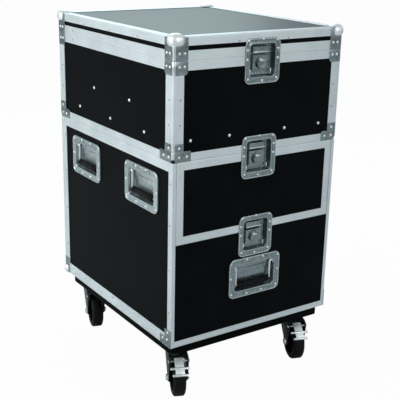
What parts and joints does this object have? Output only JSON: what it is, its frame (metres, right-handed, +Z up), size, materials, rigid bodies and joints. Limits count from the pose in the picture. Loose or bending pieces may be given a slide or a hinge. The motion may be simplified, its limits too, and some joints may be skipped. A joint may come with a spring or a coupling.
{
  "type": "wheeled flight case",
  "caption": "Upright flight case on castors, with a hinged lid over an upper compartment, drawers below it, recessed turn latches and sprung recessed handles.",
  "frame": {"origin": "on the floor, under the middle of the case body", "axes": "+Z up, -Y towards the drawer fronts and latches, +X towards the right side as seen from the front"},
  "size_m": [0.542, 0.6857, 0.9839],
  "materials": {
    "black_laminate": "black fine-grained laminate on plywood",
    "grey_laminate": "plain grey laminate on plywood",
    "birch_plywood": "lacquered birch plywood",
    "aluminium_edging": "mill-finished extrusion with fine lines",
    "black_board": "black painted plywood",
    "zinc_steel": "bright zinc-plated pressed steel",
    "handle_rubber": "black moulded rubber over a steel wire",
    "castor_tyre": "matt black rubber tyre"
  },
  "bodies": {
    "case": {"lower_box": "black_laminate", "divider_panel": "birch_plywood", "upper_box": "black_laminate", "lower_edging": "aluminium_edging", "upper_edging": "aluminium_edging", "case_rim": "aluminium_edging", "castor_board": "black_board", "castor_plate_front_left": "zinc_steel", "castor_plate_front_right": "zinc_steel", "castor_plate_rear_left": "zinc_steel", "castor_plate_rear_right": "zinc_steel", "handle_dish_left_front": "zinc_steel", "handle_dish_left_rear": "zinc_steel", "handle_dish_right_front": "zinc_steel", "handle_dish_right_rear": "zinc_steel", "case_hinge_leaf": "zinc_steel", "latch_1_dish": "zinc_steel", "latch_2_keeper": "zinc_steel", "runner_left": "zinc_steel", "runner_right": "zinc_steel"},
    "lid": {"lid_top_panel": "grey_laminate", "lid_side_panels": "black_laminate", "lid_edging": "aluminium_edging", "lid_rim": "aluminium_edging", "lid_hinge_leaf": "zinc_steel", "latch_1_keeper": "zinc_steel"},
    "drawer_1": {"drawer_1_front": "black_laminate", "drawer_1_frame_left": "aluminium_edging", "drawer_1_frame_right": "aluminium_edging", "drawer_1_box": "birch_plywood", "latch_2_dish": "zinc_steel", "latch_3_keeper": "zinc_steel"},
    "drawer_2": {"drawer_2_front": "black_laminate", "drawer_2_box": "birch_plywood", "latch_3_dish": "zinc_steel", "handle_dish_drawer": "zinc_steel"},
    "latch_1_spindle": {"latch_1_spindle": "zinc_steel"},
    "latch_1_wing": {"latch_1_wing": "zinc_steel"},
    "latch_1_hook": {"latch_1_hook": "zinc_steel"},
    "latch_2_spindle": {"latch_2_spindle": "zinc_steel"},
    "latch_2_wing": {"latch_2_wing": "zinc_steel"},
    "latch_2_hook": {"latch_2_hook": "zinc_steel"},
    "latch_3_spindle": {"latch_3_spindle": "zinc_steel"},
    "latch_3_wing": {"latch_3_wing": "zinc_steel"},
    "latch_3_hook": {"latch_3_hook": "zinc_steel"},
    "handle_left_front": {"handle_left_front": "handle_rubber"},
    "handle_left_rear": {"handle_left_rear": "handle_rubber"},
    "handle_right_front": {"handle_right_front": "handle_rubber"},
    "handle_right_rear": {"handle_right_rear": "handle_rubber"},
    "handle_drawer": {"handle_drawer": "handle_rubber"},
    "castor_front_left": {"castor_fork_front_left": "zinc_steel"},
    "wheel_front_left": {"castor_wheel_front_left": "castor_tyre"},
    "castor_front_right": {"castor_fork_front_right": "zinc_steel"},
    "wheel_front_right": {"castor_wheel_front_right": "castor_tyre"},
    "castor_rear_left": {"castor_fork_rear_left": "zinc_steel"},
    "wheel_rear_left": {"castor_wheel_rear_left": "castor_tyre"},
    "castor_rear_right": {"castor_fork_rear_right": "zinc_steel"},
    "wheel_rear_right": {"castor_wheel_rear_right": "castor_tyre"},
    "pedal_front_left": {"castor_pedal_front_left": "zinc_steel"},
    "pedal_front_right": {"castor_pedal_front_right": "zinc_steel"}
  },
  "joints": [
    {"name": "lid_hinge", "type": "hinge", "parent": "case", "child": "lid", "pos_m": [0, 0.3211, 0.9201], "axis": [-1, 0, 0], "range_deg": [0, 100]},
    {"name": "drawer_1_slide", "type": "slide", "parent": "case", "child": "drawer_1", "axis": [0, -1, 0], "range_m": [0, 0.42]},
    {"name": "drawer_2_slide", "type": "slide", "parent": "case", "child": "drawer_2", "axis": [0, -1, 0], "range_m": [0, 0.42]},
    {"name": "latch_1_turn", "type": "hinge", "parent": "case", "child": "latch_1_spindle", "pos_m": [0, -0.3147, 0.9021], "axis": [0, -1, 0], "range_deg": [0, 180]},
    {"name": "latch_1_wing_fold", "type": "hinge", "parent": "latch_1_spindle", "child": "latch_1_wing", "pos_m": [0, -0.317, 0.9061], "axis": [-1, 0, 0], "range_deg": [0, 90]},
    {"name": "latch_1_hook_lift", "type": "slide", "parent": "case", "child": "latch_1_hook", "axis": [0, 0, 1], "range_m": [0, 0.009]},
    {"name": "latch_2_turn", "type": "hinge", "parent": "drawer_1", "child": "latch_2_spindle", "pos_m": [0, -0.3147, 0.6527], "axis": [0, -1, 0], "range_deg": [0, 180]},
    {"name": "latch_2_wing_fold", "type": "hinge", "parent": "latch_2_spindle", "child": "latch_2_wing", "pos_m": [0, -0.317, 0.6567], "axis": [-1, 0, 0], "range_deg": [0, 90]},
    {"name": "latch_2_hook_lift", "type": "slide", "parent": "drawer_1", "child": "latch_2_hook", "axis": [0, 0, 1], "range_m": [0, 0.009]},
    {"name": "latch_3_turn", "type": "hinge", "parent": "drawer_2", "child": "latch_3_spindle", "pos_m": [0, -0.3147, 0.434], "axis": [0, -1, 0], "range_deg": [0, 180]},
    {"name": "latch_3_wing_fold", "type": "hinge", "parent": "latch_3_spindle", "child": "latch_3_wing", "pos_m": [0, -0.317, 0.438], "axis": [-1, 0, 0], "range_deg": [0, 90]},
    {"name": "latch_3_hook_lift", "type": "slide", "parent": "drawer_2", "child": "latch_3_hook", "axis": [0, 0, 1], "range_m": [0, 0.009]},
    {"name": "handle_left_front_swing", "type": "hinge", "parent": "case", "child": "handle_left_front", "pos_m": [-0.2577, -0.163, 0.602], "axis": [0, 1, 0], "range_deg": [0, 90], "stiffness_Nm_per_rad": 0.3},
    {"name": "handle_left_rear_swing", "type": "hinge", "parent": "case", "child": "handle_left_rear", "pos_m": [-0.2577, 0.155, 0.602], "axis": [0, 1, 0], "range_deg": [0, 90], "stiffness_Nm_per_rad": 0.3},
    {"name": "handle_right_front_swing", "type": "hinge", "parent": "case", "child": "handle_right_front", "pos_m": [0.2577, -0.163, 0.602], "axis": [0, -1, 0], "range_deg": [0, 90], "stiffness_Nm_per_rad": 0.3},
    {"name": "handle_right_rear_swing", "type": "hinge", "parent": "case", "child": "handle_right_rear", "pos_m": [0.2577, 0.155, 0.602], "axis": [0, -1, 0], "range_deg": [0, 90], "stiffness_Nm_per_rad": 0.3},
    {"name": "handle_drawer_swing", "type": "hinge", "parent": "drawer_2", "child": "handle_drawer", "pos_m": [0.0025, -0.3107, 0.3495], "axis": [-1, 0, 0], "range_deg": [0, 90], "stiffness_Nm_per_rad": 0.3},
    {"name": "castor_front_left_swivel", "type": "hinge", "parent": "case", "child": "castor_front_left", "pos_m": [-0.204, -0.249, 0.125], "axis": [0, 0, 1], "continuous": true},
    {"name": "wheel_front_left_spin", "type": "hinge", "parent": "castor_front_left", "child": "wheel_front_left", "pos_m": [-0.21824, -0.28097, 0.053], "axis": [0.9135, -0.4067, 0], "continuous": true},
    {"name": "pedal_front_left_tilt", "type": "hinge", "parent": "castor_front_left", "child": "pedal_front_left", "pos_m": [-0.22571, -0.29777, 0.10959], "axis": [0.9135, -0.4067, 0], "range_deg": [0, 5]},
    {"name": "castor_front_right_swivel", "type": "hinge", "parent": "case", "child": "castor_front_right", "pos_m": [0.204, -0.249, 0.125], "axis": [0, 0, 1], "continuous": true},
    {"name": "wheel_front_right_spin", "type": "hinge", "parent": "castor_front_right", "child": "wheel_front_right", "pos_m": [0.19203, -0.28189, 0.053], "axis": [0.9397, -0.342, 0], "continuous": true},
    {"name": "pedal_front_right_tilt", "type": "hinge", "parent": "castor_front_right", "child": "pedal_front_right", "pos_m": [0.18574, -0.29917, 0.10959], "axis": [0.9397, -0.342, 0], "range_deg": [0, 5]},
    {"name": "castor_rear_left_swivel", "type": "hinge", "parent": "case", "child": "castor_rear_left", "pos_m": [-0.204, 0.249, 0.125], "axis": [0, 0, 1], "continuous": true},
    {"name": "wheel_rear_left_spin", "type": "hinge", "parent": "castor_rear_left", "child": "wheel_rear_left", "pos_m": [-0.21423, 0.21553, 0.053], "axis": [0.9563, -0.2924, 0], "continuous": true},
    {"name": "castor_rear_right_swivel", "type": "hinge", "parent": "case", "child": "castor_rear_right", "pos_m": [0.204, 0.249, 0.125], "axis": [0, 0, 1], "continuous": true},
    {"name": "wheel_rear_right_spin", "type": "hinge", "parent": "castor_rear_right", "child": "wheel_rear_right", "pos_m": [0.19792, 0.28347, 0.053], "axis": [-0.9848, -0.1736, 0], "continuous": true}
  ],
  "couplings": [
    {"joint": "latch_1_hook_lift", "follows": "latch_1_turn", "m_per_rad": 0.0028648},
    {"joint": "latch_2_hook_lift", "follows": "latch_2_turn", "m_per_rad": 0.0028648},
    {"joint": "latch_3_hook_lift", "follows": "latch_3_turn", "m_per_rad": 0.0028648}
  ]
}
